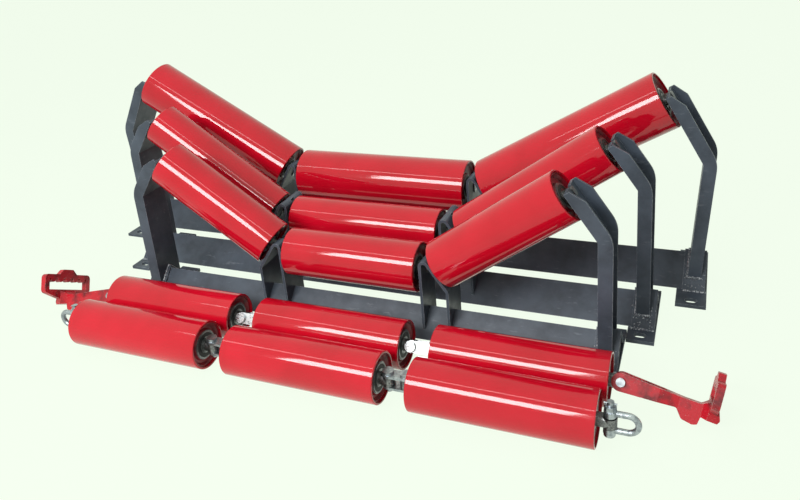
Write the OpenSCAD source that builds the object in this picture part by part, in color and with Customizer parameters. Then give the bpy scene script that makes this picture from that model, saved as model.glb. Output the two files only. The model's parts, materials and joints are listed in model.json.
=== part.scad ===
/* [Front station] */
// Tube diameter of the front station's rollers
front_tube_d = 108; // [102:1:110]
// Tube length of the front station's rollers
front_tube_l = 315; // [310:1:320]
// Trough angle of the front station's wing rollers
front_trough = 35; // [33:0.5:36]

/* [Middle station] */
// Tube diameter of the middle station's rollers
middle_tube_d = 108; // [102:1:114]
// Tube length of the middle station's rollers
middle_tube_l = 380; // [375:1:385]
// Trough angle of the middle station's wing rollers
middle_trough = 35; // [34:0.5:36]

/* [Rear station] */
// Tube diameter of the rear station's rollers
rear_tube_d = 133; // [127:1:139]
// Tube length of the rear station's rollers
rear_tube_l = 465; // [458:1:470]
// Trough angle of the rear station's wing rollers
rear_trough = 30; // [28:0.5:32]

/* [Frames] */
// Thickness of the foot plates
foot_t = 8; // [6:1:10]
// Wall of the angle steel beams
angle_t = 7; // [5:1:9]
// Wall of the bent brackets and of the posts' webs
plate_t = 6; // [5:0.5:7]
// Wall of the posts' flanges
flange_t = 5; // [4:0.5:6]

/* [Rollers] */
// Wall of the roller tubes
tube_t = 4; // [3:0.5:4.5]
// Sheet thickness of the bearing housings in the tube ends
housing_t = 3; // [2.5:0.5:3.5]

/* [Roller strings] */
// Tube diameter of the string rollers
string_tube_d = 102; // [98:1:104]
// Tube length of the string rollers
string_tube_l = 336; // [330:1:338]
// Distance between the two pins of a link
link_pitch = 36; // [34:1:40]
// Diameter of the link, shackle and hanger pins
pin_d = 12; // [10:1:13]
// Turn of the hanger string about its own axis
hook_roll = -31; // [-33:0.5:-30]

/* [Clearances] */
// Radial running clearance of a pin in the eye of an axle
pin_clearance = 0.08; // [0.03:0.01:0.1]
// Radial running clearance of a ball row in its rings
ball_clearance = 0.06; // [0.03:0.01:0.1]
// Gap between the turning and the standing seal
seal_clearance = 0.3; // [0.2:0.1:0.6]
// Gap between a link or hanger cheek and the eye beside it
eye_clearance = 0.3; // [0.2:0.1:0.8]
// Gap between an axle flat and its slot, each side
flat_clearance = 0.15; // [0.1:0.05:0.4]

/* [Hidden] */
$fn = 48;
slack = 1;      // overshoot of cutting bodies
seam = 0.05;    // joint line between pieces that are fixed to each other

FRONT = 0;
MIDDLE = 1;
REAR = 2;
LEFT = -1;
CENTRE = 0;
RIGHT = 1;
SIDES = [LEFT, RIGHT];

STEEL = [0.62, 0.64, 0.66];
ZINC = [0.85, 0.86, 0.88];
FRAME_GREY = [0.28, 0.31, 0.35];
ROLLER_RED = [0.80, 0.08, 0.12];
CAST_RED = [0.66, 0.09, 0.11];

// Each list holds the front, middle and rear station's value
tube_d = [front_tube_d, middle_tube_d, rear_tube_d];
tube_l = [front_tube_l, middle_tube_l, rear_tube_l];
trough = [front_trough, middle_trough, rear_trough];
axle_z = [154, 156, 192];           // centre roller's axis above the floor
wing_out = [49.5, 63.7, 54.8];      // centre tube's end to the wing tube's inner end, along X
wing_up = [15, 12, 11];             // the same, along Z
axle_d = [20, 20, 25];
bearing_d = [47, 47, 52];
bearing_w = [14, 14, 15];
beam_leg = [75, 80, 90];            // leg of the angle steel beam
post_w = [76, 84, 96];              // posts and brackets, across the beam
post_lean = [-1, -1.5, 3];          // outward lean of the posts' lower part
foot_l = [190, 210, 260];           // foot plate, across the beam
slot_row = [150, 170, 220];         // distance between its slots
slot_w = [14, 16, 18];
slot_l = [24, 24, 26];
foot_in = [26, 26, 32];             // slot centre to the plate's inner edge
foot_out = [30, 30, 32];            // slot centre to the plate's outer edge
row_y = [0, 166, 356];              // the stations' places while their foot plates pass each other sideways
slot_reach = 80;                    // wing tube's outer end to the slot centre, along X
foot_spacing = 1;                   // between the front and middle stations' foot plates
rear_x = -75;

beam_end = 28;                      // beam end beyond the slot centre
saddle_t = 5;                       // reinforcing angle between beam and post
saddle_in = 20;                     // its inner edge before the slot centre
post_in = 12;                       // post's inner face before the slot centre
post_flange = 28;                   // depth of the post channel
post_bend_r = 65;                   // bend of the flanges' free edge
head_top = 12;                      // post head above the wing axle
head_flat = 12;                     // level part of the head, before it slopes
head_drop = 20;                     // low end of that slope, below the wing axle
tube_gap = 8;                       // tube end to the plate that holds its axle
bracket_bend_r = 9;
bracket_knee = 32;                  // the bracket turns upright this far below the centre axle
axle_proud = 3;                     // axle end beyond its plate
flat_share = 0.7;                   // width of the axle flats over the axle diameter

string_axle_d = 25;
string_bearing_d = 52;
string_bearing_w = 15;
string_x = [-4, 2];
string_y = [-250, -138];
string_turn = [90, hook_roll];
SHACKLES = 0;
HOOKS = 1;

function along(angle) = [cos(angle), sin(angle)];
function across(angle) = [-sin(angle), cos(angle)];
function unit(v) = v / norm(v);
function left_normal(v) = [-v.y, v.x] / norm(v);
function turned(v, a) = [v.x * cos(a) - v.y * sin(a), v.x * sin(a) + v.y * cos(a)];
function reversed(list) = [for (i = [len(list) - 1 : -1 : 0]) list[i]];

function half_base(s) = beam_leg[s] / sqrt(2);
function ridge_z(s) = foot_t + half_base(s);
function wing_inner(s) = [tube_l[s] / 2 + wing_out[s], axle_z[s] + wing_up[s]];
function wing_outer(s) = wing_inner(s) + tube_l[s] * along(trough[s]);
function slot_x(s) = round(wing_outer(s).x + slot_reach);
function flat_w(s) = axle_d[s] * flat_share;

middle_x = slot_x(FRONT) + foot_out[FRONT] + foot_spacing + foot_in[MIDDLE] - slot_x(MIDDLE);
station_x = [0, middle_x, rear_x];

// Sideways gap between two stations' foot plates, on the tighter side
function plate_gap(a, b) =
    let (
        reach = slot_x(b) - foot_in[b] - slot_x(a) - foot_out[a],
        offset = station_x[b] - station_x[a]
    )
    min(reach + offset, reach - offset);
// Plates that would meet stand end to end instead
function row_step(a, b) =
    plate_gap(a, b) < foot_spacing / 2
        ? (foot_l[a] + foot_l[b]) / 2 + foot_spacing
        : row_y[b] - row_y[a];
station_y = [0, row_step(FRONT, MIDDLE), row_step(FRONT, MIDDLE) + row_step(MIDDLE, REAR)];

// Arc of radius r that rounds the corner b between a and c
function corner_arc(a, b, c, r, steps = 6) =
    let (
        u = unit(a - b),
        v = unit(c - b),
        half = acos(u * v) / 2,
        centre = b + unit(u + v) * r / sin(half),
        start = b + u * r / tan(half) - centre,
        turn = sign(cross(b - a, c - b)) * (180 - 2 * half)
    )
    [for (i = [0 : steps]) centre + turned(start, turn * i / steps)];

// Open path, with a radius for each of its inner corners
function round_path(pts, radii) = [
    for (i = [0 : len(pts) - 1])
        each i == 0 || i == len(pts) - 1 ? [pts[i]] : corner_arc(pts[i - 1], pts[i], pts[i + 1], radii[i - 1])
];

// Closed outline, with a radius for each corner
function round_loop(pts, radii) = [
    for (i = [0 : len(pts) - 1])
        let (before = pts[(i + len(pts) - 1) % len(pts)], after = pts[(i + 1) % len(pts)])
        each corner_arc(before, pts[i], after, radii[i])
];

// The path moved sideways by d, to the left of its direction for a positive d
function shifted(path, d) = [
    for (i = [0 : len(path) - 1])
        let (
            n1 = left_normal(i == 0 ? path[1] - path[0] : path[i] - path[i - 1]),
            n2 = left_normal(i == len(path) - 1 ? path[i] - path[i - 1] : path[i + 1] - path[i])
        )
        path[i] + (n1 + n2) * d / (1 + n1 * n2)
];

// Outline of a sheet that follows the path between two sideways distances
function sheet(path, near, far) = concat(shifted(path, near), reversed(shifted(path, far)));

// Extrudes an outline drawn in the XZ plane, centred on Y
module upright(w) {
    rotate([90, 0, 0]) linear_extrude(w, center = true) children();
}

module cylinder_x(r, l) {
    rotate([0, 90, 0]) cylinder(r = r, h = l, center = true);
}

module cylinder_y(r, l) {
    rotate([90, 0, 0]) cylinder(r = r, h = l, center = true);
}

// Ring around the X axis from x0 to x1
module ring_x(r_in, r_out, x0, x1) {
    translate([x0, 0, 0]) rotate([0, 90, 0]) difference() {
        cylinder(r = r_out, h = x1 - x0);
        translate([0, 0, -slack]) cylinder(r = r_in, h = x1 - x0 + 2 * slack);
    }
}

module both_sides() {
    children();
    mirror([1, 0, 0]) children();
}

module at_station(s) {
    translate([station_x[s], station_y[s], 0]) children();
}

// Puts a roller that is modelled along X, centred on the origin, on its axle line
module on_axle(s, side) {
    middle = (wing_inner(s) + wing_outer(s)) / 2;
    at_station(s)
        if (side == CENTRE) {
            translate([0, 0, axle_z[s]]) children();
        } else {
            mirror([side == LEFT ? 1 : 0, 0, 0]) translate([middle.x, 0, middle.y])
                rotate([0, -trough[s], 0]) children();
        }
}

// Everything below a beam's outer faces raised by t
module roof(s, t) {
    peak = ridge_z(s) + t * sqrt(2);
    rotate([90, 0, 90]) linear_extrude(4 * slot_x(s), center = true)
        polygon([[0, peak], [2 * peak, -peak], [-2 * peak, -peak]]);
}

// Angle steel of wall t lying ridge up, its faces raised by lift above the beam's outer faces
module ridge_angle(s, lift, t, length) {
    peak = ridge_z(s) + lift * sqrt(2);
    wall = t * sqrt(2);
    base = peak - foot_t;
    rotate([90, 0, 90]) linear_extrude(length)
        polygon([
            [0, peak], [base, foot_t], [base - wall, foot_t],
            [0, peak - wall], [wall - base, foot_t], [-base, foot_t]
        ]);
}

// Beam, with a saddle laid on it under each post
module beam(s) {
    half_l = slot_x(s) + beam_end;
    color(FRAME_GREY) at_station(s) {
        translate([-half_l, 0, 0]) ridge_angle(s, 0, angle_t, 2 * half_l);
        both_sides() translate([slot_x(s) - saddle_in, 0, 0])
            ridge_angle(s, saddle_t + seam, saddle_t, saddle_in + beam_end - slack);
    }
}

module foot_plates(s) {
    straight = slot_l[s] - slot_w[s];
    cut_t = foot_t + 2 * slack;
    color(FRAME_GREY) at_station(s) both_sides() translate([slot_x(s), 0, 0]) difference() {
        translate([-foot_in[s], -foot_l[s] / 2, 0]) cube([foot_in[s] + foot_out[s], foot_l[s], foot_t]);
        for (row = SIDES) translate([0, row * slot_row[s] / 2, -slack]) {
            for (end = SIDES) translate([end * straight / 2, 0, 0]) cylinder(d = slot_w[s], h = cut_t);
            translate([-straight / 2, -slot_w[s] / 2, 0]) cube([straight, slot_w[s], cut_t]);
        }
    }
}

// Inner face of the right post: up from the floor, then square to the wing axle
function post_face(s) =
    let (
        u = along(trough[s]),
        v = across(trough[s]),
        foot = [slot_x(s) - post_in, 0],
        up = [sin(post_lean[s]), cos(post_lean[s])],
        reach = u * wing_outer(s) + tube_gap,
        bend = foot + up * (reach - u * foot) / (u * up)
    )
    [foot, bend, reach * u + (v * wing_outer(s) + head_top) * v];

// Side view of the right post's flanges: sharp bend inside, round bend and sloped head outside
function flange_outline(s) =
    let (
        u = along(trough[s]),
        v = across(trough[s]),
        face = post_face(s),
        free = shifted(face, -post_flange),
        low = free[2] - v * (head_top + head_drop),
        edge = round_path([free[0], free[1], low], [post_bend_r])
    )
    concat(face, [face[2] + head_flat * u], reversed(edge));

// Posts: bent channels, the web towards the roller and slotted from the top for its axle
module side_posts(s) {
    slot = flat_w(s) + 2 * flat_clearance;
    end = wing_outer(s);
    color(FRAME_GREY) at_station(s) both_sides() difference() {
        union() {
            upright(post_w[s]) polygon(sheet(post_face(s), 0, -plate_t));
            for (row = SIDES) translate([0, row * (post_w[s] - flange_t) / 2, 0])
                upright(flange_t) polygon(flange_outline(s));
        }
        roof(s, saddle_t + 2 * seam);
        translate([end.x, 0, end.y]) rotate([0, -trough[s], 0])
            translate([0, -slot / 2, -axle_d[s] / 2]) cube([2 * post_flange, slot, 2 * axle_d[s]]);
    }
}

// Middle line of the right bracket: up beside the centre roller, round, and down beside the wing
function bracket_line(s) =
    let (
        u = along(trough[s]),
        from_tube = tube_gap + plate_t / 2,
        leg_x = tube_l[s] / 2 + from_tube,
        reach = u * wing_inner(s) - from_tube,
        knee_z = axle_z[s] - bracket_knee,
        apex = [leg_x, (reach - u.x * leg_x) / u.y],
        knee = [(reach - u.y * knee_z) / u.x, knee_z]
    )
    round_path([[leg_x, 0], apex, knee, [knee.x, 0]], [bracket_bend_r, 2 * plate_t]);

// Brackets: bent plates astride the ridge, slotted from the top for both axle ends
module inner_brackets(s) {
    slot = flat_w(s) + 2 * flat_clearance;
    depth = 3 * axle_d[s];
    line = bracket_line(s);
    color(FRAME_GREY) at_station(s) both_sides() difference() {
        upright(post_w[s]) polygon(sheet(line, plate_t / 2, -plate_t / 2));
        roof(s, seam);
        upright(slot) {
            translate([tube_l[s] / 2, axle_z[s] - axle_d[s] / 2])
                square([tube_gap + plate_t + 2 * bracket_bend_r, depth]);
            translate(wing_inner(s)) rotate(trough[s])
                translate([-depth / 2, -axle_d[s] / 2]) square([depth / 2, depth]);
        }
    }
}

// Depths behind the tube's end face
rim_depth = 5;
hub_depth = 6;
dish_depth = 11;
bearing_depth = 9;
skirt_depth = 22;
ring_t = 4;         // radial thickness of a bearing ring

// Bearing inner rings and standing seals at both ends of a tube
module standing_rings(length, axle, width) {
    r = axle / 2 + seam;
    both_sides() translate([length / 2, 0, 0]) {
        ring_x(r, axle / 2 + ring_t, -bearing_depth - width, -bearing_depth);
        ring_x(r, axle / 2 + ring_t + 1, 1 - bearing_depth, 2 - hub_depth);
    }
}

// Round axle with flats milled on its ends
module flatted_axle(length, axle, flat) {
    reach = tube_gap + plate_t + axle_proud;
    cylinder_x(axle / 2, length + slack);
    intersection() {
        cylinder_x(axle / 2, length + 2 * reach);
        cube([2 * length, flat, 2 * axle], center = true);
    }
}

module axles(s) {
    color(STEEL) for (side = [LEFT, CENTRE, RIGHT]) on_axle(s, side) {
        flatted_axle(tube_l[s], axle_d[s], flat_w(s));
        standing_rings(tube_l[s], axle_d[s], bearing_w[s]);
    }
}

// Roller tube with its end edges broken
module tube(d, length) {
    ease = 1.2;
    color(ROLLER_RED) rotate([0, 90, 0]) rotate_extrude($fn = 96)
        polygon([
            [d / 2 - tube_t, -length / 2], [d / 2 - ease, -length / 2], [d / 2, ease - length / 2],
            [d / 2, length / 2 - ease], [d / 2 - ease, length / 2], [d / 2 - tube_t, length / 2]
        ]);
}

// Dished sheet housing that holds the bearing, along Z with the tube's end face at zero
module housing(d, seat, width) {
    rim = d / 2 - tube_t - seam;
    stop = bearing_depth + width + seam;
    rotate_extrude($fn = 96)
        polygon([
            [rim, -rim_depth], [rim - 4, -rim_depth], [rim - 8, -dish_depth], [seat + 8, -dish_depth],
            [seat + 5, -hub_depth], [seat, -hub_depth], [seat, -stop], [seat - housing_t, -stop],
            [seat - housing_t, -stop - housing_t], [seat + housing_t, -stop - housing_t],
            [seat + housing_t, -dish_depth - housing_t], [rim - housing_t, -dish_depth - housing_t],
            [rim - housing_t, -skirt_depth], [rim, -skirt_depth]
        ]);
}

// What turns with a tube at each end: housing, bearing outer ring, ball row, seal and cover ring
module tube_ends(d, length, axle, bearing, width) {
    seat = bearing / 2;
    row_r = (axle / 2 + seat) / 2;
    ball_r = (seat - axle / 2 - 2 * ring_t) / 2 - ball_clearance;
    seal_r = axle / 2 + ring_t + 1 + seal_clearance;
    both_sides() translate([length / 2, 0, 0]) {
        color([0.22, 0.04, 0.06]) rotate([0, 90, 0]) housing(d, seat, width);
        color(STEEL) {
            ring_x(seat - ring_t, seat - seam, -bearing_depth - width, -bearing_depth);
            translate([-bearing_depth - width / 2, 0, 0]) rotate([0, 90, 0])
                rotate_extrude() translate([row_r, 0]) circle(ball_r, $fn = 24);
        }
        color([0.08, 0.08, 0.09]) ring_x(seal_r, seat - seam, 1 - bearing_depth, 1 - hub_depth);
        color([0.72, 0.73, 0.74]) ring_x(seat + 0.5, seat + 3.5, seam - hub_depth, 1.5 - hub_depth);
    }
}

module station_tube(s, side) {
    on_axle(s, side) tube(tube_d[s], tube_l[s]);
}

module station_ends(s, side) {
    on_axle(s, side) tube_ends(tube_d[s], tube_l[s], axle_d[s], bearing_d[s], bearing_w[s]);
}

inner_reach = 14;       // link pin beyond the tube's end
outer_reach = 19;       // shackle or hanger pin beyond the tube's end
eye_t = 20;             // eye on an axle's end, along its pin
eye_r = 12.4;
link_plate_t = 5;
link_plate_r = 12;
head_r = 11;
head_t = 6;
washer_t = 2;
split_r = 1.5;          // split pins
string_step = string_tube_l + 2 * inner_reach + link_pitch;
end_pin = string_step + string_tube_l / 2 + outer_reach;

// Puts the children on a string's own axis, with its pins along Y and its fold towards +Z
module on_string(g) {
    translate([string_x[g], string_y[g], string_tube_d / 2]) rotate([string_turn[g], 0, 0]) children();
}

// The same, with the origin at the outer pin and +X away from the string's middle
module at_end_pin(g, side) {
    on_string(g) mirror([side == LEFT ? 1 : 0, 0, 0]) translate([end_pin, 0, 0]) children();
}

module string_tube(g, side) {
    on_string(g) translate([side * string_step, 0, 0]) tube(string_tube_d, string_tube_l);
}

module string_ends(g, side) {
    on_string(g) translate([side * string_step, 0, 0])
        tube_ends(string_tube_d, string_tube_l, string_axle_d, string_bearing_d, string_bearing_w);
}

// Tongue with a drilled eye, from the tube's end towards +X
module eye_end(reach) {
    difference() {
        union() {
            intersection() {
                translate([reach / 2, 0, 0]) cylinder_x(string_axle_d / 2, reach);
                cube([2 * reach, eye_t, 2 * string_axle_d], center = true);
            }
            translate([reach, 0, 0]) cylinder_y(eye_r, eye_t);
        }
        translate([reach, 0, 0]) cylinder_y(pin_d / 2 + pin_clearance, eye_t + 2 * slack);
    }
}

// Axle of a string roller; the wing rollers' outer eyes reach further than their inner ones
module string_axle(g, side) {
    reach = side == CENTRE ? inner_reach : outer_reach;
    color(STEEL) on_string(g) mirror([side == LEFT ? 1 : 0, 0, 0])
        translate([side == CENTRE ? 0 : string_step, 0, 0]) {
            cylinder_x(string_axle_d / 2, string_tube_l + slack);
            translate([string_tube_l / 2, 0, 0]) eye_end(reach);
            translate([-string_tube_l / 2, 0, 0]) mirror([1, 0, 0]) eye_end(inner_reach);
            standing_rings(string_tube_l, string_axle_d, string_bearing_w);
        }
}

// Pin along Y between a head at -Y and a washer and split pin at +Y
module headed_pin(half_grip, pin_head_r = head_r) {
    tail = washer_t + 7;
    split_y = half_grip + washer_t + 3;
    difference() {
        union() {
            translate([0, (tail - slack) / 2, 0]) cylinder_y(pin_d / 2, 2 * half_grip + tail + slack);
            translate([0, -half_grip - seam - head_t / 2, 0]) cylinder_y(pin_head_r, head_t);
        }
        translate([0, split_y, 0]) cylinder_x(split_r + seam, 2 * pin_d);
    }
    translate([0, half_grip + seam + washer_t / 2, 0]) rotate([90, 0, 0]) difference() {
        cylinder(r = head_r - 1, h = washer_t - seam, center = true);
        cylinder(r = pin_d / 2 + seam, h = 2 * washer_t, center = true);
    }
    translate([0, split_y, 0]) cylinder_x(split_r, 2 * head_r);
}

// Two plates and two pins that join the eyes of neighbouring axles
module link(g, side) {
    plate_y = eye_t / 2 + eye_clearance;
    color(ZINC) on_string(g) mirror([side == LEFT ? 1 : 0, 0, 0]) mirror([0, g == SHACKLES ? 1 : 0, 0])
        translate([string_step / 2, 0, 0]) {
            for (row = SIDES) translate([0, row * (plate_y + link_plate_t / 2), 0]) difference() {
                union() {
                    cube([link_pitch, link_plate_t, 2 * link_plate_r], center = true);
                    for (end = SIDES) translate([end * link_pitch / 2, 0, 0])
                        cylinder_y(link_plate_r, link_plate_t);
                }
                for (end = SIDES) translate([end * link_pitch / 2, 0, 0])
                    cylinder_y(pin_d / 2 + seam, link_plate_t + 2 * slack);
            }
            for (end = SIDES) translate([end * link_pitch / 2, 0, 0]) headed_pin(plate_y + link_plate_t);
        }
}

rod_r = 5.5;
bow_r = 17.5;
bow_leg = 29;
boss_r = 11;
nut_t = 10;
bolt_tail = 8;
bolt_head_t = 5;

// Shackle: a bent rod with two eyes, its bolt upright through the axle's outer eye
module shackle(side) {
    outer_y = bow_r + rod_r;
    bolt_top = outer_y + nut_t + bolt_tail;
    split_y = bolt_top - bolt_tail / 2;
    color(STEEL) at_end_pin(SHACKLES, side) {
        difference() {
            union() {
                for (row = SIDES) translate([0, row * bow_r, 0]) {
                    translate([bow_leg / 2, 0, 0]) cylinder_x(rod_r, bow_leg);
                    cylinder_y(boss_r, 2 * rod_r);
                }
                translate([bow_leg, 0, 0]) rotate([0, 0, -90])
                    rotate_extrude(angle = 180) translate([bow_r, 0]) circle(rod_r);
            }
            cylinder_y(pin_d / 2 + seam, 4 * bow_r);
        }
        difference() {
            union() {
                translate([0, (bolt_top - outer_y - slack) / 2, 0])
                    cylinder_y(pin_d / 2, bolt_top + outer_y + slack);
                translate([0, -outer_y - seam - bolt_head_t / 2, 0]) cylinder_y(boss_r - 1, bolt_head_t);
            }
            translate([0, split_y, 0]) cylinder_x(split_r + seam, 2 * pin_d);
        }
        translate([0, outer_y + seam + nut_t / 2, 0]) rotate([90, 0, 0]) difference() {
            cylinder(r = boss_r - 0.5, h = nut_t, center = true, $fn = 6);
            cylinder(r = pin_d / 2 + seam, h = 2 * nut_t, center = true);
        }
        translate([0, split_y, 0]) cylinder_x(split_r, 2 * boss_r);
    }
}

// Hanger sizes. Along the arm they start at its pin.
arm_eye_r = 16.5;
arm_tip_r = 10;
arm_half_w = 13;
cheek_t = 8;
cheek_in = eye_t / 2 + 0.2 + eye_clearance;
cheek_out = cheek_in + cheek_t;
fork_l = 78;
lug_x = [98, 137];
lug_tip = [129, -29];
head_x = [149, 162];
neck_half_w = 24;
frame_half_w = 71;
frame_z = [15, 59];
window_half_w = 58;
hook_pin_head_r = 8;
window_z = [22, 49];
tooth_count = 5;
tooth_r = 7;
tooth_h = 9;
tab_h = 12;
floor_gap = 0.4;

// Droop that lays the lug's tip on the floor
floor_reach = (string_tube_d / 2 - floor_gap + arm_half_w * sin(hook_roll)) / cos(hook_roll);
hook_drop = atan2(lug_tip.x, -lug_tip.y) - acos(floor_reach / norm(lug_tip));

// Arm, lug and neck seen from the side
module arm_side() {
    polygon(round_loop(
        [[0, arm_eye_r], [110, arm_tip_r], [136, arm_tip_r], [head_x[0], frame_z[0] + 4],
         [head_x[1], frame_z[0] + 4], [head_x[1] + 8, -8], [head_x[1] + 4, -14], [lug_x[1] + 2, -12],
         [lug_x[1], lug_tip.y + 3], lug_tip, [lug_x[0] + 12, lug_tip.y + 3], [lug_x[0], -arm_tip_r],
         [0, -arm_eye_r]],
        [1, 20, 6, 3, 3, 5, 2, 2, 3, 6, 8, 5, 1]
    ));
}

// Arm seen from above
module arm_plan() {
    edge = [
        [-arm_eye_r - slack, cheek_out], [fork_l - 12, cheek_out], [fork_l + 22, arm_half_w],
        [head_x[0] - 10, arm_half_w], [head_x[0], neck_half_w], [head_x[1] + 12, neck_half_w - 8]
    ];
    polygon(concat(edge, reversed([for (p = edge) [p.x, -p.y]])));
}

// Head seen along the arm: a window frame with teeth hanging in it and a tab on top
module head_face() {
    top = frame_z[1];
    low = frame_z[0];
    step = 2 * window_half_w / tooth_count;
    difference() {
        polygon(round_loop(
            [[-frame_half_w, low], [-neck_half_w, 0], [neck_half_w, 0], [frame_half_w, low],
             [frame_half_w, top], [27, top], [15, top + tab_h], [-15, top + tab_h], [-27, top],
             [-frame_half_w, top]],
            [10, 12, 12, 10, 10, 4, 3, 3, 4, 10]
        ));
        difference() {
            translate([-window_half_w, window_z[0]])
                square([2 * window_half_w, window_z[1] - window_z[0]]);
            for (i = [0 : tooth_count - 1])
                translate([(i - (tooth_count - 1) / 2) * step, window_z[1] - tooth_h + tooth_r]) {
                    circle(tooth_r, $fn = 24);
                    translate([-tooth_r, 0]) square([2 * tooth_r, tooth_h]);
                }
        }
    }
}

// Quick-release hanger: a forked arm with a toothed head
module hook(side) {
    at_end_pin(HOOKS, side) rotate([0, hook_drop, 0]) {
        color(CAST_RED) difference() {
            union() {
                intersection() {
                    union() {
                        upright(3 * neck_half_w) arm_side();
                        cylinder_y(arm_eye_r, 3 * neck_half_w);
                    }
                    linear_extrude(6 * arm_eye_r, center = true) arm_plan();
                }
                translate([head_x[0], 0, 0]) rotate([90, 0, 90])
                    linear_extrude(head_x[1] - head_x[0]) head_face();
            }
            // fork gap around the axle's eye, round at its inner end
            translate([-2 * arm_eye_r, -cheek_in, -2 * arm_eye_r])
                cube([fork_l + 2 * arm_eye_r - cheek_in, 2 * cheek_in, 4 * arm_eye_r]);
            translate([fork_l - cheek_in, 0, 0]) cylinder(r = cheek_in, h = 4 * arm_eye_r, center = true);
            cylinder_y(pin_d / 2 + seam, 4 * neck_half_w);
        }
        color(ZINC) headed_pin(cheek_out, hook_pin_head_r);
    }
}

beam(FRONT);  // front_beam
foot_plates(FRONT);  // front_foot_plates
side_posts(FRONT);  // front_side_posts
inner_brackets(FRONT);  // front_inner_brackets
axles(FRONT);  // front_axles
station_tube(FRONT, LEFT);  // front_left_tube
station_ends(FRONT, LEFT);  // front_left_ends
station_tube(FRONT, CENTRE);  // front_centre_tube
station_ends(FRONT, CENTRE);  // front_centre_ends
station_tube(FRONT, RIGHT);  // front_right_tube
station_ends(FRONT, RIGHT);  // front_right_ends
beam(MIDDLE);  // middle_beam
foot_plates(MIDDLE);  // middle_foot_plates
side_posts(MIDDLE);  // middle_side_posts
inner_brackets(MIDDLE);  // middle_inner_brackets
axles(MIDDLE);  // middle_axles
station_tube(MIDDLE, LEFT);  // middle_left_tube
station_ends(MIDDLE, LEFT);  // middle_left_ends
station_tube(MIDDLE, CENTRE);  // middle_centre_tube
station_ends(MIDDLE, CENTRE);  // middle_centre_ends
station_tube(MIDDLE, RIGHT);  // middle_right_tube
station_ends(MIDDLE, RIGHT);  // middle_right_ends
beam(REAR);  // rear_beam
foot_plates(REAR);  // rear_foot_plates
side_posts(REAR);  // rear_side_posts
inner_brackets(REAR);  // rear_inner_brackets
axles(REAR);  // rear_axles
station_tube(REAR, LEFT);  // rear_left_tube
station_ends(REAR, LEFT);  // rear_left_ends
station_tube(REAR, CENTRE);  // rear_centre_tube
station_ends(REAR, CENTRE);  // rear_centre_ends
station_tube(REAR, RIGHT);  // rear_right_tube
station_ends(REAR, RIGHT);  // rear_right_ends
string_axle(SHACKLES, CENTRE);  // shackle_string_centre_axle
string_axle(SHACKLES, LEFT);  // shackle_string_left_axle
string_axle(SHACKLES, RIGHT);  // shackle_string_right_axle
link(SHACKLES, LEFT);  // shackle_string_left_link
link(SHACKLES, RIGHT);  // shackle_string_right_link
string_tube(SHACKLES, LEFT);  // shackle_string_left_tube
string_ends(SHACKLES, LEFT);  // shackle_string_left_ends
string_tube(SHACKLES, CENTRE);  // shackle_string_centre_tube
string_ends(SHACKLES, CENTRE);  // shackle_string_centre_ends
string_tube(SHACKLES, RIGHT);  // shackle_string_right_tube
string_ends(SHACKLES, RIGHT);  // shackle_string_right_ends
string_axle(HOOKS, CENTRE);  // hook_string_centre_axle
string_axle(HOOKS, LEFT);  // hook_string_left_axle
string_axle(HOOKS, RIGHT);  // hook_string_right_axle
link(HOOKS, LEFT);  // hook_string_left_link
link(HOOKS, RIGHT);  // hook_string_right_link
string_tube(HOOKS, LEFT);  // hook_string_left_tube
string_ends(HOOKS, LEFT);  // hook_string_left_ends
string_tube(HOOKS, CENTRE);  // hook_string_centre_tube
string_ends(HOOKS, CENTRE);  // hook_string_centre_ends
string_tube(HOOKS, RIGHT);  // hook_string_right_tube
string_ends(HOOKS, RIGHT);  // hook_string_right_ends
shackle(LEFT);  // left_shackle
shackle(RIGHT);  // right_shackle
hook(LEFT);  // left_hook
hook(RIGHT);  // right_hook
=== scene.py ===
import json
import math
import random

import bmesh
import bpy
from mathutils import Matrix, Vector

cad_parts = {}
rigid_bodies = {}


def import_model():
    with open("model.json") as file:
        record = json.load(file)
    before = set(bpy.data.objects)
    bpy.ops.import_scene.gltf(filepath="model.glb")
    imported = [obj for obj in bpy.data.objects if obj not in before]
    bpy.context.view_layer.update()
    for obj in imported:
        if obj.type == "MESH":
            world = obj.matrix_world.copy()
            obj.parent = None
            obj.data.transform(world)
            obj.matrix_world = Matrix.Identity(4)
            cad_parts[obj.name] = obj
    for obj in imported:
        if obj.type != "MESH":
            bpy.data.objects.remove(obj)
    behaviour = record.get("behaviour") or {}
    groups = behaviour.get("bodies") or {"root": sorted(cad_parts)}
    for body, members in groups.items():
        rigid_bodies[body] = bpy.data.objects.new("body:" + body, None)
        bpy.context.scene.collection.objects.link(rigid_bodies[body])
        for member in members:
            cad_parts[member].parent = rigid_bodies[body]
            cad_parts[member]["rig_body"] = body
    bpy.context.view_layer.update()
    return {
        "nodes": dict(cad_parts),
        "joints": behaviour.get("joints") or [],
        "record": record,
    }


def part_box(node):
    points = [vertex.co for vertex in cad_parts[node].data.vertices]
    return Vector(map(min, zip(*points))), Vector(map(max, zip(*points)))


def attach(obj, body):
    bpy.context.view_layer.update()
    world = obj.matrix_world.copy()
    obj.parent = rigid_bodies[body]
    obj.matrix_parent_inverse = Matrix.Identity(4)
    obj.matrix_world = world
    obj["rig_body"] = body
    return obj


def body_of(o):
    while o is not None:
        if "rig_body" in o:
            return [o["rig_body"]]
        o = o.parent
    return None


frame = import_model()
nodes = frame["nodes"]
print("frame loaded:", len(nodes), "nodes")

mm = 0.001


# Colours are written as sRGB hex; shaders want linear values
def linearColour(hexColour):
    parts = [int(hexColour[i:i + 2], 16) / 255 for i in (1, 3, 5)]
    return [c / 12.92 if c <= 0.04045 else ((c + 0.055) / 1.055) ** 2.4 for c in parts] + [1.0]


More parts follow.
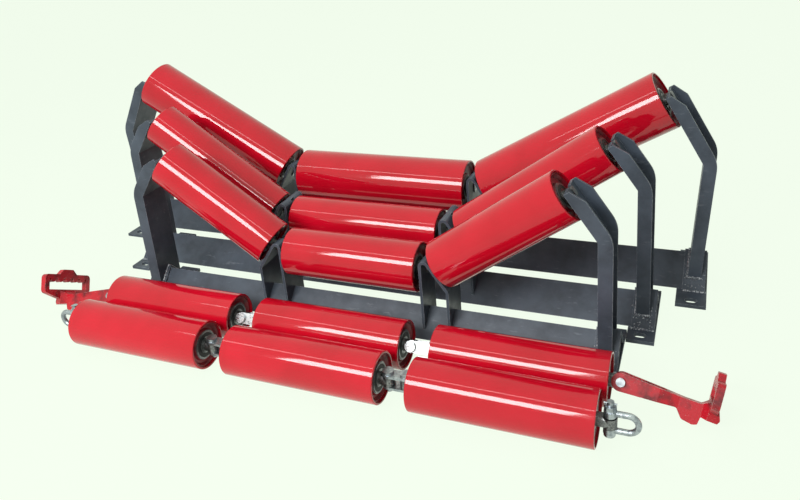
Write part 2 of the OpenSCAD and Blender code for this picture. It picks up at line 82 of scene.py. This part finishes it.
# Adds a node with its settings, fills or links its inputs, and hands back the output that is wanted
def addNode(tree, kind, inputs=None, out=0, **settings):
    made = tree.nodes.new(kind)
    for name, value in settings.items():
        setattr(made, name, value)
    for name, value in (inputs or {}).items():
        if isinstance(value, bpy.types.NodeSocket):
            tree.links.new(value, made.inputs[name])
        else:
            made.inputs[name].default_value = value
    return made.outputs[out] if made.outputs else None


def startMaterial(name):
    material = bpy.data.materials.new(name)
    material.use_nodes = True
    material.node_tree.nodes.clear()
    return material, material.node_tree


# Patches of a real size in millimetres: 0 where the noise is below low, 1 where it is above high
def patches(tree, sizeMm, low, high, detail=3.0, rough=0.5, squash=(1, 1, 1)):
    place = addNode(tree, "ShaderNodeTexCoord", out="Object")
    place = addNode(tree, "ShaderNodeMapping", {"Vector": place, "Scale": squash})
    noise = addNode(tree, "ShaderNodeTexNoise", {
        "Vector": place, "Scale": 1 / (sizeMm * mm), "Detail": detail, "Roughness": rough})
    return addNode(tree, "ShaderNodeMapRange", {"Value": noise, "From Min": low, "From Max": high})


# 1 on an edge, 0 on the flats from the given width onwards
def nearEdges(tree, widthMm):
    rounded = addNode(tree, "ShaderNodeBevel", {"Radius": widthMm * mm}, samples=4)
    flat = addNode(tree, "ShaderNodeNewGeometry", out="Normal")
    same = addNode(tree, "ShaderNodeVectorMath", {0: rounded, 1: flat},
                   out="Value", operation="DOT_PRODUCT")
    return addNode(tree, "ShaderNodeMapRange", {"Value": same, "From Min": 0.985, "From Max": 0.86})


rollerFinish = {
    "red": "#c00a24", "deepRed": "#b2081e", "dust": "#d0625f", "dustShare": 0.3,
    "gloss": 0.06, "smearedGloss": 0.12, "cloudMm": 90, "smearMm": 30,
    "dustMm": 2.0,  # coarser than real dust, so that it shows
    "orangePeelMm": 4.0, "peelDepthMm": 0.006,
}


# Stoving enamel on steel tube: wet-looking gloss, a slight orange peel, a few dust specks
def sprayedEnamel():
    material, tree = startMaterial("sprayed stoving enamel")
    cloud = patches(tree, rollerFinish["cloudMm"], 0.3, 0.7, detail=2)
    colour = addNode(tree, "ShaderNodeMix", {
        0: cloud, 6: linearColour(rollerFinish["red"]), 7: linearColour(rollerFinish["deepRed"])},
        out=2, data_type="RGBA")
    specks = patches(tree, rollerFinish["dustMm"], 0.72, 0.80, detail=2)
    specks = addNode(tree, "ShaderNodeMath", {0: specks, 1: rollerFinish["dustShare"]},
                     operation="MULTIPLY")
    colour = addNode(tree, "ShaderNodeMix", {
        0: specks, 6: colour, 7: linearColour(rollerFinish["dust"])}, out=2, data_type="RGBA")
    smear = patches(tree, rollerFinish["smearMm"], 0.45, 0.75, detail=4, rough=0.6)
    gloss = addNode(tree, "ShaderNodeMapRange", {
        "Value": smear, "To Min": rollerFinish["gloss"], "To Max": rollerFinish["smearedGloss"]})
    peel = patches(tree, rollerFinish["orangePeelMm"], 0.0, 1.0, detail=1)
    peel = addNode(tree, "ShaderNodeBump", {
        "Height": peel, "Distance": rollerFinish["peelDepthMm"] * mm, "Strength": 1.0})
    shader = addNode(tree, "ShaderNodeBsdfPrincipled", {
        "Base Color": colour, "Roughness": gloss, "Normal": peel})
    addNode(tree, "ShaderNodeOutputMaterial", {"Surface": shader})
    return material


frameFinish = {
    "grey": "#4a535e", "darkGrey": "#373e47", "scuff": "#959ca4",
    "gloss": 0.34, "chalkyGloss": 0.54, "shine": 0.32, "cloudMm": 70,
    "dragMm": 9, "dragShare": 0.35, "edgeMm": 1.6, "rubMm": 6, "rubShare": 0.8,
    "scaleMm": 5, "scaleDepthMm": 0.12,
}


# Alkyd paint sprayed on hot rolled steel: satin, uneven over the mill scale, rubbed on the edges
def sprayedAlkyd():
    material, tree = startMaterial("sprayed alkyd on hot rolled steel")
    cloud = patches(tree, frameFinish["cloudMm"], 0.35, 0.65, detail=5, rough=0.6)
    colour = addNode(tree, "ShaderNodeMix", {
        0: cloud, 6: linearColour(frameFinish["grey"]), 7: linearColour(frameFinish["darkGrey"])},
        out=2, data_type="RGBA")
    scuff = linearColour(frameFinish["scuff"])
    drag = patches(tree, frameFinish["dragMm"], 0.62, 0.80, detail=4, rough=0.6, squash=(0.25, 1, 1))
    drag = addNode(tree, "ShaderNodeMath", {0: drag, 1: frameFinish["dragShare"]}, operation="MULTIPLY")
    colour = addNode(tree, "ShaderNodeMix", {0: drag, 6: colour, 7: scuff}, out=2, data_type="RGBA")
    rubbed = patches(tree, frameFinish["rubMm"], 0.38, 0.52, detail=5, rough=0.7)
    worn = addNode(tree, "ShaderNodeMath", {
        0: nearEdges(tree, frameFinish["edgeMm"]), 1: rubbed}, operation="MULTIPLY")
    worn = addNode(tree, "ShaderNodeMath", {0: worn, 1: frameFinish["rubShare"]}, operation="MULTIPLY")
    colour = addNode(tree, "ShaderNodeMix", {0: worn, 6: colour, 7: scuff}, out=2, data_type="RGBA")
    gloss = addNode(tree, "ShaderNodeMapRange", {
        "Value": cloud, "To Min": frameFinish["gloss"], "To Max": frameFinish["chalkyGloss"]})
    millScale = patches(tree, frameFinish["scaleMm"], 0.0, 1.0, detail=6, rough=0.7)
    skin = addNode(tree, "ShaderNodeBump", {
        "Height": millScale, "Distance": frameFinish["scaleDepthMm"] * mm, "Strength": 0.7})
    shader = addNode(tree, "ShaderNodeBsdfPrincipled", {
        "Base Color": colour, "Roughness": gloss, "Normal": skin,
        "Specular IOR Level": frameFinish["shine"]})
    addNode(tree, "ShaderNodeOutputMaterial", {"Surface": shader})
    return material


weldFinish = {
    "paint": "#565c65", "flux": "#c3c7cb", "gloss": 0.40, "bareGloss": 0.55,
    "fleckMm": 3, "depthMm": 0.1, "metal": 0.25,
}


# Weld metal under thin paint: paler flecks where the paint missed the ripples
def paintedWeld():
    material, tree = startMaterial("thin paint on weld metal")
    missed = patches(tree, weldFinish["fleckMm"], 0.48, 0.58)
    colour = addNode(tree, "ShaderNodeMix", {
        0: missed, 6: linearColour(weldFinish["paint"]), 7: linearColour(weldFinish["flux"])},
        out=2, data_type="RGBA")
    gloss = addNode(tree, "ShaderNodeMapRange", {
        "Value": missed, "To Min": weldFinish["gloss"], "To Max": weldFinish["bareGloss"]})
    skin = addNode(tree, "ShaderNodeBump", {
        "Height": missed, "Distance": weldFinish["depthMm"] * mm, "Strength": 0.5})
    shader = addNode(tree, "ShaderNodeBsdfPrincipled", {
        "Base Color": colour, "Roughness": gloss, "Metallic": weldFinish["metal"], "Normal": skin})
    addNode(tree, "ShaderNodeOutputMaterial", {"Surface": shader})
    return material


housingFinish = {
    "maroon": "#8e1626", "black": "#420e17", "dust": "#824648", "dustShare": 0.2,
    "gloss": 0.40, "runMm": 16, "runDepthMm": 0.15, "dustMm": 3,
}


# Dip paint on pressed sheet: dark maroon, blacker and thicker where it ran, a little dusty
def dippedPaint():
    material, tree = startMaterial("dip paint on pressed sheet steel")
    runs = patches(tree, housingFinish["runMm"], 0.46, 0.72, detail=4)
    colour = addNode(tree, "ShaderNodeMix", {
        0: runs, 6: linearColour(housingFinish["maroon"]), 7: linearColour(housingFinish["black"])},
        out=2, data_type="RGBA")
    dusty = patches(tree, housingFinish["dustMm"], 0.6, 0.75, detail=4)
    dusty = addNode(tree, "ShaderNodeMath", {0: dusty, 1: housingFinish["dustShare"]},
                    operation="MULTIPLY")
    colour = addNode(tree, "ShaderNodeMix", {
        0: dusty, 6: colour, 7: linearColour(housingFinish["dust"])}, out=2, data_type="RGBA")
    skin = addNode(tree, "ShaderNodeBump", {
        "Height": runs, "Distance": housingFinish["runDepthMm"] * mm, "Strength": 0.5})
    shader = addNode(tree, "ShaderNodeBsdfPrincipled", {
        "Base Color": colour, "Roughness": housingFinish["gloss"], "Normal": skin})
    addNode(tree, "ShaderNodeOutputMaterial", {"Surface": shader})
    return material


metalFinish = {
    "bright zinc plate on steel": {
        "pale": "#dfe0e2", "dull": "#b4b7bb", "spot": "#55565a", "spotShare": 0.8,
        "gloss": 0.26, "dullGloss": 0.42, "grainMm": 6},
    "hot dip zinc on forged steel": {
        "pale": "#babfc5", "dull": "#8f959c", "spot": "#5c6066", "spotShare": 0.4,
        "gloss": 0.30, "dullGloss": 0.46, "grainMm": 8},
    "turned bright steel": {
        "pale": "#939394", "dull": "#696a6d", "spot": "#3b3632", "spotShare": 0.5,
        "gloss": 0.30, "dullGloss": 0.46, "grainMm": 4},
}
metalGrain = {"spot": 0.7, "fine": 1 / 3, "depthMm": 0.05}  # sizes as shares of the grain, and relief


# Bare or plated metal: two tones of its grain, with a few dark oil spots
def patchyMetal(name):
    spec = metalFinish[name]
    material, tree = startMaterial(name)
    patch = patches(tree, spec["grainMm"], 0.38, 0.62, detail=5, rough=0.65)
    colour = addNode(tree, "ShaderNodeMix", {
        0: patch, 6: linearColour(spec["pale"]), 7: linearColour(spec["dull"])},
        out=2, data_type="RGBA")
    spots = patches(tree, spec["grainMm"] * metalGrain["spot"], 0.58, 0.66, detail=2)
    spots = addNode(tree, "ShaderNodeMath", {0: spots, 1: spec["spotShare"]}, operation="MULTIPLY")
    colour = addNode(tree, "ShaderNodeMix", {0: spots, 6: colour, 7: linearColour(spec["spot"])},
                     out=2, data_type="RGBA")
    gloss = addNode(tree, "ShaderNodeMapRange", {
        "Value": patch, "To Min": spec["gloss"], "To Max": spec["dullGloss"]})
    fine = patches(tree, spec["grainMm"] * metalGrain["fine"], 0.0, 1.0, detail=4)
    skin = addNode(tree, "ShaderNodeBump", {
        "Height": fine, "Distance": metalGrain["depthMm"] * mm, "Strength": 0.6})
    shader = addNode(tree, "ShaderNodeBsdfPrincipled", {
        "Base Color": colour, "Metallic": 1.0, "Roughness": gloss, "Normal": skin})
    addNode(tree, "ShaderNodeOutputMaterial", {"Surface": shader})
    return material


castFinish = {
    "red": "#b31022", "dark": "#630a14", "bare": "#dccac4", "bareShare": 0.75,
    "gloss": 0.34, "stainGloss": 0.54, "stainMm": 26, "edgeMm": 1.4, "chipMm": 3, "fleckMm": 2.2,
    "sandMm": 2.2, "sandDepthMm": 0.25,  # coarser than real sand, so that it shows
}


# Primer on a sand casting: gritty, stained, chipped on the edges and flecked with bare metal
def primedCasting():
    material, tree = startMaterial("red primer on sand cast steel")
    sand = patches(tree, castFinish["sandMm"], 0.0, 1.0, detail=6, rough=0.7)
    stain = patches(tree, castFinish["stainMm"], 0.45, 0.66, detail=4)
    colour = addNode(tree, "ShaderNodeMix", {
        0: stain, 6: linearColour(castFinish["red"]), 7: linearColour(castFinish["dark"])},
        out=2, data_type="RGBA")
    edges = nearEdges(tree, castFinish["edgeMm"])
    chips = patches(tree, castFinish["chipMm"], 0.5, 0.6, detail=4, rough=0.7)
    chipped = addNode(tree, "ShaderNodeMath", {0: edges, 1: chips}, operation="MULTIPLY")
    flecks = patches(tree, castFinish["fleckMm"], 0.69, 0.74)
    bare = addNode(tree, "ShaderNodeMath", {0: chipped, 1: flecks}, operation="MAXIMUM")
    bare = addNode(tree, "ShaderNodeMath", {0: bare, 1: castFinish["bareShare"]}, operation="MULTIPLY")
    colour = addNode(tree, "ShaderNodeMix", {
        0: bare, 6: colour, 7: linearColour(castFinish["bare"])}, out=2, data_type="RGBA")
    gloss = addNode(tree, "ShaderNodeMapRange", {
        "Value": stain, "To Min": castFinish["gloss"], "To Max": castFinish["stainGloss"]})
    skin = addNode(tree, "ShaderNodeBump", {
        "Height": sand, "Distance": castFinish["sandDepthMm"] * mm, "Strength": 0.8})
    shader = addNode(tree, "ShaderNodeBsdfPrincipled", {
        "Base Color": colour, "Roughness": gloss, "Normal": skin})
    addNode(tree, "ShaderNodeOutputMaterial", {"Surface": shader})
    return material


sealFinish = {
    "black": "#161617", "dust": "#2c2a2a", "gloss": 0.55, "dustyGloss": 0.8,
    "dustMm": 2, "depthMm": 0.04,
}


# Nitrile rubber seal, moulded: near black and matt, with patches of dust
def mouldedRubber():
    material, tree = startMaterial("moulded nitrile rubber")
    dust = patches(tree, sealFinish["dustMm"], 0.45, 0.7)
    colour = addNode(tree, "ShaderNodeMix", {
        0: dust, 6: linearColour(sealFinish["black"]), 7: linearColour(sealFinish["dust"])},
        out=2, data_type="RGBA")
    gloss = addNode(tree, "ShaderNodeMapRange", {
        "Value": dust, "To Min": sealFinish["gloss"], "To Max": sealFinish["dustyGloss"]})
    skin = addNode(tree, "ShaderNodeBump", {
        "Height": dust, "Distance": sealFinish["depthMm"] * mm, "Strength": 0.5})
    shader = addNode(tree, "ShaderNodeBsdfPrincipled", {
        "Base Color": colour, "Roughness": gloss, "Normal": skin})
    addNode(tree, "ShaderNodeOutputMaterial", {"Surface": shader})
    return material


enamel = sprayedEnamel()
framePaint = sprayedAlkyd()
weldMetal = paintedWeld()
housingPaint = dippedPaint()
rubber = mouldedRubber()
castPaint = primedCasting()
brightZinc, dippedZinc, turnedSteel = (patchyMetal(name) for name in metalFinish)
print("materials ready")

slotMaterials = {
    "roller_paint": [enamel],
    "frame_paint": [framePaint],
    "housing_paint": [housingPaint, turnedSteel, rubber],
    "steel": [turnedSteel],
    "zinc": [brightZinc],
    "cast_paint": [castPaint, dippedZinc],
}
slotOf = {part["node"]: part["material_slot"] for part in frame["record"]["subparts"]}
jointOf = {joint["child"]: joint for joint in frame["joints"]}

# Radii from the axle's axis, and a depth from the outer end of the node
rollerEnd = {
    "seatMm": {"string": 26.0, "rear": 26.0, "station": 23.5},  # outside of the bearing
    "sealGapMm": 0.2, "coverFromMm": 0.3, "coverToMm": 3.6, "coverDepthMm": 1.6,
}
hangerPin = {"withinMm": 10.5, "beyondMm": 18.6}  # from its axis, and from the middle of the fork
dippedNodes = ("left_shackle", "right_shackle", "shackle_string_left_link", "shackle_string_right_link")


# Distance of a point from a joint's axis, and its place along that axis
def fromAxis(point, joint):
    offset = point - Vector(joint["pos_m"])
    axis = Vector(joint["axis"]).normalized()
    along = offset.dot(axis)
    return (offset - along * axis).length, along


# Pressed housing, steel cover ring and rubber seal are one node, told apart by radius and depth
def dressRollerEnd(name, node, joint):
    kind = "string" if "string" in name else "rear" if name.startswith("rear") else "station"
    seat = rollerEnd["seatMm"][kind]
    length = max(abs(fromAxis(v.co, joint)[1]) for v in node.data.vertices)
    for face in node.data.polygons:
        radius, along = fromAxis(face.center, joint)
        radius /= mm
        atEnd = abs(along) > length - rollerEnd["coverDepthMm"] * mm
        onCover = seat + rollerEnd["coverFromMm"] < radius < seat + rollerEnd["coverToMm"] and atEnd
        onSeal = radius < seat - rollerEnd["sealGapMm"]
        face.material_index = 1 if onCover else 2 if onSeal else 0


# Casting and pin are one node; the pin shows only outside the fork's cheeks
def dressHanger(node, joint):
    for face in node.data.polygons:
        radius, along = fromAxis(face.center, joint)
        onPin = radius < hangerPin["withinMm"] * mm and abs(along) > hangerPin["beyondMm"] * mm
        face.material_index = 1 if onPin else 0


def dressNodes():
    for name, node in nodes.items():
        slot = slotOf[name]
        node.data.materials.clear()
        for material in slotMaterials[slot]:
            node.data.materials.append(material)
        joint = jointOf.get(body_of(node)[0])
        if slot == "housing_paint":
            dressRollerEnd(name, node, joint)
        if slot == "cast_paint":
            dressHanger(node, joint)
    for name in dippedNodes:
        nodes[name].data.materials[0] = dippedZinc


dressNodes()
print("CAD nodes dressed")

weldBead = {
    "radiusMm": 3.4, "rippleMm": 3.4, "uneven": (0.8, 1.15), "flat": 0.9, "seed": 7,
    "flangeMm": 28,  # depth of a post's channel
    "hemStartMm": 6, "hemMm": 44,  # start of the hem's bead behind the post's web, and its length
    "spatter": 60, "spatterMm": 1.3, "spatterSizes": (0.5, 1.3),
    "spatterAcrossMm": (-8, 40), "spatterDown": (0.45, 1.0),
}
stations = ("front", "middle", "rear")
footHeightMm = 20  # the part of a post that counts as its foot, above the beam's ridge


# A run of weld: ripple after ripple, each a little different
def layBead(shape, start, end, chance):
    run = end - start
    count = max(2, round(run.length / (weldBead["rippleMm"] * mm)))
    turn = run.to_track_quat("Z", "X").to_matrix().to_4x4()
    for i in range(count + 1):
        size = weldBead["radiusMm"] * mm * chance.uniform(*weldBead["uneven"])
        ripple = Matrix.Diagonal((size, size, size * weldBead["flat"], 1))
        place = Matrix.Translation(start.lerp(end, i / count)) @ turn @ ripple
        bmesh.ops.create_uvsphere(shape, u_segments=8, v_segments=5, radius=1.0, matrix=place)


# Beads round the foot of one post and along the hem of the saddle under it, with spatter between
def weldPostFoot(shape, post, ridge, plateTop, side, chance):
    low, high = post
    middleY = (low.y + high.y) / 2
    webX = low.x if side > 0 else high.x
    flangeX = webX + side * weldBead["flangeMm"] * mm
    for row in (-1, 1):
        edgeY = low.y if row < 0 else high.y
        foot = Vector((webX, edgeY, ridge - abs(edgeY - middleY)))
        layBead(shape, foot, Vector((flangeX, edgeY, foot.z)), chance)
        layBead(shape, foot, Vector((webX, middleY, ridge)), chance)
        hemX = webX - side * weldBead["hemStartMm"] * mm
        hem = Vector((hemX, middleY + row * (ridge - plateTop), plateTop))
        layBead(shape, hem, hem + Vector((side * weldBead["hemMm"] * mm, 0, 0)), chance)
        for _ in range(weldBead["spatter"]):
            down = chance.uniform(*weldBead["spatterDown"]) * (ridge - plateTop)
            x = webX + side * chance.uniform(*weldBead["spatterAcrossMm"]) * mm
            size = weldBead["spatterMm"] * mm * chance.uniform(*weldBead["spatterSizes"])
            place = Matrix.Translation((x, middleY + row * down, ridge - down))
            bmesh.ops.create_icosphere(shape, subdivisions=1, radius=size, matrix=place)


def addPiece(name, shape, material, body):
    mesh = bpy.data.meshes.new(name)
    for face in shape.faces:
        face.smooth = True
    shape.to_mesh(mesh)
    shape.free()
    mesh.materials.append(material)
    piece = bpy.data.objects.new(name, mesh)
    bpy.context.scene.collection.objects.link(piece)
    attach(piece, body)


def weldStations():
    chance = random.Random(weldBead["seed"])
    for station in stations:
        shape = bmesh.new()
        points = [v.co for v in nodes[station + "_side_posts"].data.vertices]
        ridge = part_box(station + "_beam")[1][2]
        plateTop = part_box(station + "_foot_plates")[1][2]
        for side in (-1, 1):
            foot = [p for p in points if p.x * side > 0 and p.z < ridge + footHeightMm * mm]
            low = Vector(min(p[i] for p in foot) for i in range(3))
            high = Vector(max(p[i] for p in foot) for i in range(3))
            weldPostFoot(shape, (low, high), ridge, plateTop, side, chance)
        addPiece(station + "_post_welds", shape, weldMetal, "frames")


weldStations()
print("welds laid")

# Metres and radians; the lens in millimetres
shotPlace = {
    "location": (0.6902, -1.2786, 0.9176), "yaw": -0.4159, "pitch": 0.3842, "roll": -0.0854,
    "lens": 33.08, "shiftY": -0.0875, "clipStart": 0.05,
}


def placeCamera():
    camera = bpy.data.objects.new("camera", bpy.data.cameras.new("camera"))
    bpy.context.scene.collection.objects.link(camera)
    camera.data.lens = shotPlace["lens"]
    camera.data.shift_y = shotPlace["shiftY"]
    camera.data.clip_start = shotPlace["clipStart"]
    camera.location = shotPlace["location"]
    yaw = Matrix.Rotation(-shotPlace["yaw"], 3, "Z")
    pitch = Matrix.Rotation(math.pi / 2 - shotPlace["pitch"], 3, "X")
    roll = Matrix.Rotation(shotPlace["roll"], 3, "Z")
    camera.rotation_euler = (yaw @ pitch @ roll).to_euler()
    bpy.context.scene.camera = camera


placeCamera()
print("camera placed")

# Sizes and places in metres
studio = {
    "paper": "#f4ffef", "floorPaint": "#f0f4ec", "floorHalf": 12, "floorGlow": 0.96,
    "skyLevel": 0.25, "aim": (0, 0, 0.1),
    "tube": {"size": (3.6, 0.10), "at": (-0.2, -1.2, 2.3), "watts": 8, "shine": True},
    "window": {"size": (1.5, 0.66), "at": (-0.5, -2.03, 1.66), "watts": 58, "shine": True},
    "softbox": {"size": (2.4, 1.6), "at": (-0.6, 0.3, 2.5), "watts": 26, "shine": False},
}


def addLamp(name):
    spec = studio[name]
    lamp = bpy.data.lights.new(name, "AREA")
    lamp.shape = "RECTANGLE"
    lamp.size, lamp.size_y = spec["size"]
    lamp.energy = spec["watts"]
    item = bpy.data.objects.new(name, lamp)
    item.location = spec["at"]
    towards = Vector(studio["aim"]) - item.location
    item.rotation_euler = towards.to_track_quat("-Z", "Y").to_euler()
    item.visible_glossy = spec["shine"]
    bpy.context.scene.collection.objects.link(item)


# 1 for camera, glossy and transmission rays, which see the pale paper, and 0 for the rest
def seesPaper(tree):
    kinds = [addNode(tree, "ShaderNodeLightPath", out=kind)
             for kind in ("Is Camera Ray", "Is Glossy Ray", "Is Transmission Ray")]
    either = addNode(tree, "ShaderNodeMath", {0: kinds[0], 1: kinds[1]}, operation="MAXIMUM")
    return addNode(tree, "ShaderNodeMath", {0: either, 1: kinds[2]}, operation="MAXIMUM")


def lightStudio():
    for name in ("tube", "window", "softbox"):
        addLamp(name)
    world = bpy.data.worlds.new("studio")
    bpy.context.scene.world = world
    world.use_nodes = True
    tree = world.node_tree
    tree.nodes.clear()
    sky = addNode(tree, "ShaderNodeBackground", {
        "Color": (1, 1, 1, 1), "Strength": studio["skyLevel"]})
    paper = addNode(tree, "ShaderNodeBackground", {
        "Color": linearColour(studio["paper"]), "Strength": 1.0})
    both = addNode(tree, "ShaderNodeMixShader", {0: seesPaper(tree), 1: sky, 2: paper})
    addNode(tree, "ShaderNodeOutputWorld", {"Surface": both})


def layFloor():
    mesh = bpy.data.meshes.new("floor")
    shape = bmesh.new()
    bmesh.ops.create_grid(shape, x_segments=1, y_segments=1, size=studio["floorHalf"])
    shape.to_mesh(mesh)
    shape.free()
    floor = bpy.data.objects.new("floor", mesh)
    bpy.context.scene.collection.objects.link(floor)
    material, tree = startMaterial("matt painted floor")
    matt = addNode(tree, "ShaderNodeBsdfDiffuse", {"Color": linearColour(studio["floorPaint"])})
    glow = addNode(tree, "ShaderNodeEmission", {
        "Color": linearColour(studio["paper"]), "Strength": 1.0})
    share = addNode(tree, "ShaderNodeMath", {0: seesPaper(tree), 1: studio["floorGlow"]},
                    operation="MULTIPLY")
    both = addNode(tree, "ShaderNodeMixShader", {0: share, 1: matt, 2: glow})
    addNode(tree, "ShaderNodeOutputMaterial", {"Surface": both})
    mesh.materials.append(material)


lightStudio()
layFloor()
bpy.context.scene.view_settings.view_transform = "Standard"
print("studio ready")
